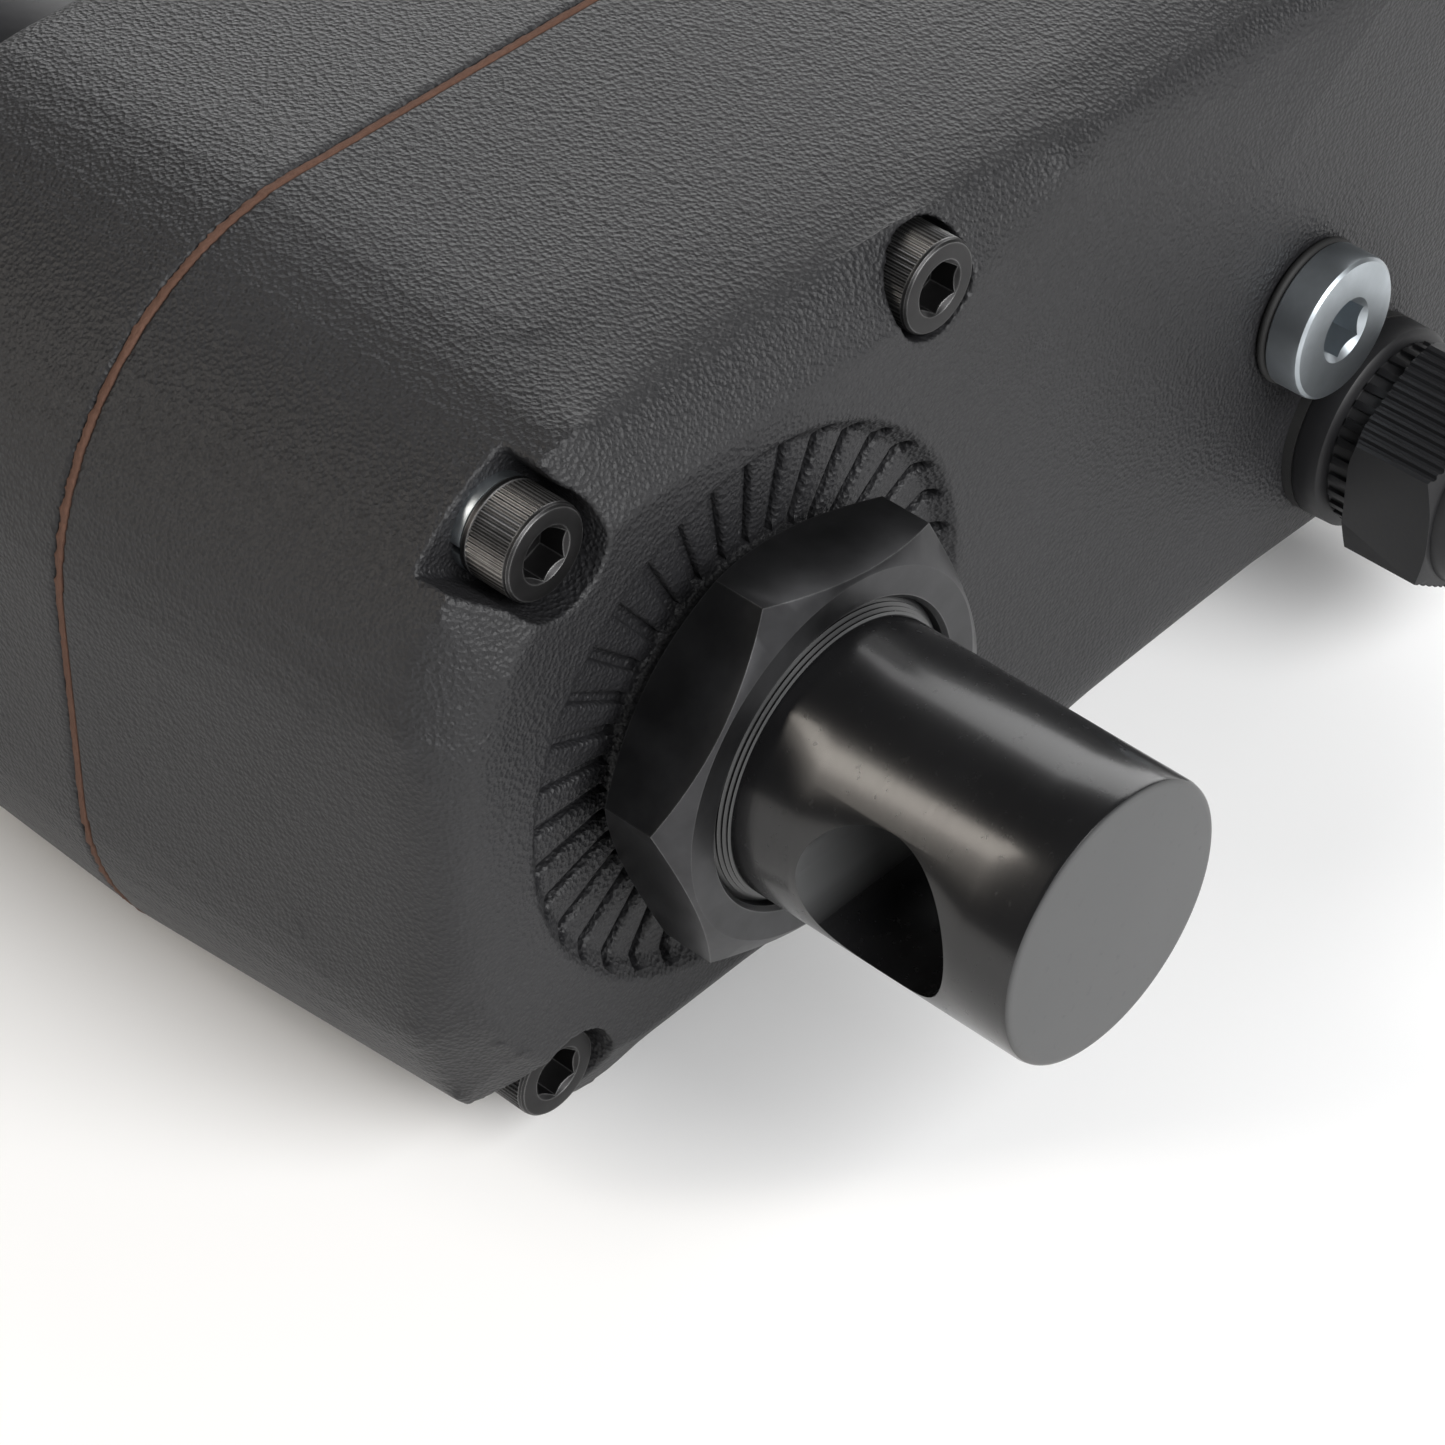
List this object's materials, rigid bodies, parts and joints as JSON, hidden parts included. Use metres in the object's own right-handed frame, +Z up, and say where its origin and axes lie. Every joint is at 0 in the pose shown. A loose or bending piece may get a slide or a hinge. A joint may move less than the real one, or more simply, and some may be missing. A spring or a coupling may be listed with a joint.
{
  "type": "linear actuator",
  "caption": "Parallel-drive electric linear actuator: cast gearbox with a round clevis eye and jam nut, thrust tube beside its motor, and a sliding rod with a matching eye.",
  "frame": {"origin": "centre of the rear eye's pin hole, on the screw axis", "axes": "+X along the rear eye's pin, from the screw axis towards the motor; +Y along the screw towards the rod eye; +Z up"},
  "size_m": [0.1765, 0.387, 0.091],
  "materials": {
    "cast_black": "satin black powder coat on die-cast aluminium",
    "eye_black": "turned steel, glossy black finish",
    "nut_black": "black finished steel, satin",
    "tube_black": "smooth black painted steel tube",
    "screw_oxide": "black oxide steel, worn edges",
    "zinc_plate": "bright zinc plate",
    "nylon_black": "matte black nylon",
    "seal_black": "matte rubber",
    "gasket_fibre": "red-brown fibre sheet",
    "ground_steel": "ground steel",
    "gear_steel": "oiled machined steel",
    "magnet_ferrite": "dark ferrite",
    "bronze": "machined bronze",
    "copper": "bright copper",
    "carbon": "graphite carbon",
    "phenolic_brown": "brown phenolic sheet",
    "board_green": "green lacquered board",
    "relay_blue": "glossy blue plastic",
    "guide_plastic": "natural low-friction plastic"
  },
  "bodies": {
    "root": {"rear_eye": "eye_black", "jam_nut": "nut_black", "rear_housing": "cast_black", "housing_gasket": "gasket_fibre", "front_housing": "cast_black", "housing_screws": "screw_oxide", "lock_washers": "zinc_plate", "override_plug": "zinc_plate", "plug_seal_ring": "seal_black", "gland_body": "nylon_black", "gland_seal_washer": "seal_black", "gland_seal": "seal_black", "gland_dome_nut": "nylon_black", "outer_tube": "tube_black", "tube_seal_ring": "seal_black", "tube_head": "cast_black", "rod_guide_bush": "bronze", "rod_wiper": "seal_black", "head_screws": "screw_oxide", "motor_flange": "cast_black", "motor_case": "tube_black", "motor_end_bell": "cast_black", "motor_bolts": "screw_oxide", "motor_magnets": "magnet_ferrite", "brush_plate": "phenolic_brown", "carbon_brushes": "carbon", "screw_bearing_outer_rings": "ground_steel", "screw_bearing_balls": "ground_steel", "layshaft_bearing_outer_rings": "ground_steel", "layshaft_bearing_balls": "ground_steel", "rotor_bearing_outer_rings": "ground_steel", "rotor_bearing_balls": "ground_steel", "limit_board": "board_green", "board_relays": "relay_blue", "board_screws": "zinc_plate"},
    "rotor": {"rotor_shaft": "ground_steel", "motor_pinion": "gear_steel", "armature": "gear_steel", "armature_windings": "copper", "commutator": "copper", "rotor_bearing_inner_rings": "ground_steel"},
    "layshaft_gears": {"layshaft": "ground_steel", "layshaft_pinion": "gear_steel", "layshaft_wheel": "gear_steel", "layshaft_bearing_inner_rings": "ground_steel"},
    "screw": {"ball_screw": "ground_steel", "screw_gear": "gear_steel", "gear_key": "gear_steel", "screw_spacers": "gear_steel", "screw_lock_nut": "screw_oxide", "screw_stop_washer": "gear_steel", "screw_bearing_inner_rings": "ground_steel"},
    "rod": {"rod": "ground_steel", "drive_nut": "bronze", "nut_guide_ring": "guide_plastic", "rod_eye": "eye_black", "rod_jam_nut": "nut_black"}
  },
  "joints": [
    {"name": "rotor_spin", "type": "hinge", "parent": "root", "child": "rotor", "pos_m": [0.0865, 0.028, 0], "axis": [0, 1, 0], "range_deg": [-36960, 0]},
    {"name": "layshaft_spin", "type": "hinge", "parent": "root", "child": "layshaft_gears", "pos_m": [0.0465, 0.028, 0], "axis": [0, 1, 0], "range_deg": [0, 10349]},
    {"name": "screw_spin", "type": "hinge", "parent": "root", "child": "screw", "pos_m": [0, 0.028, 0], "axis": [0, 1, 0], "range_deg": [-3600, 0]},
    {"name": "rod_slide", "type": "slide", "parent": "root", "child": "rod", "axis": [0, 1, 0], "range_m": [0, 0.1]}
  ],
  "couplings": [
    {"joint": "layshaft_spin", "follows": "rotor_spin", "ratio": -0.28},
    {"joint": "screw_spin", "follows": "rotor_spin", "ratio": 0.097391},
    {"joint": "rod_slide", "follows": "rotor_spin", "m_per_rad": -0.000155}
  ]
}
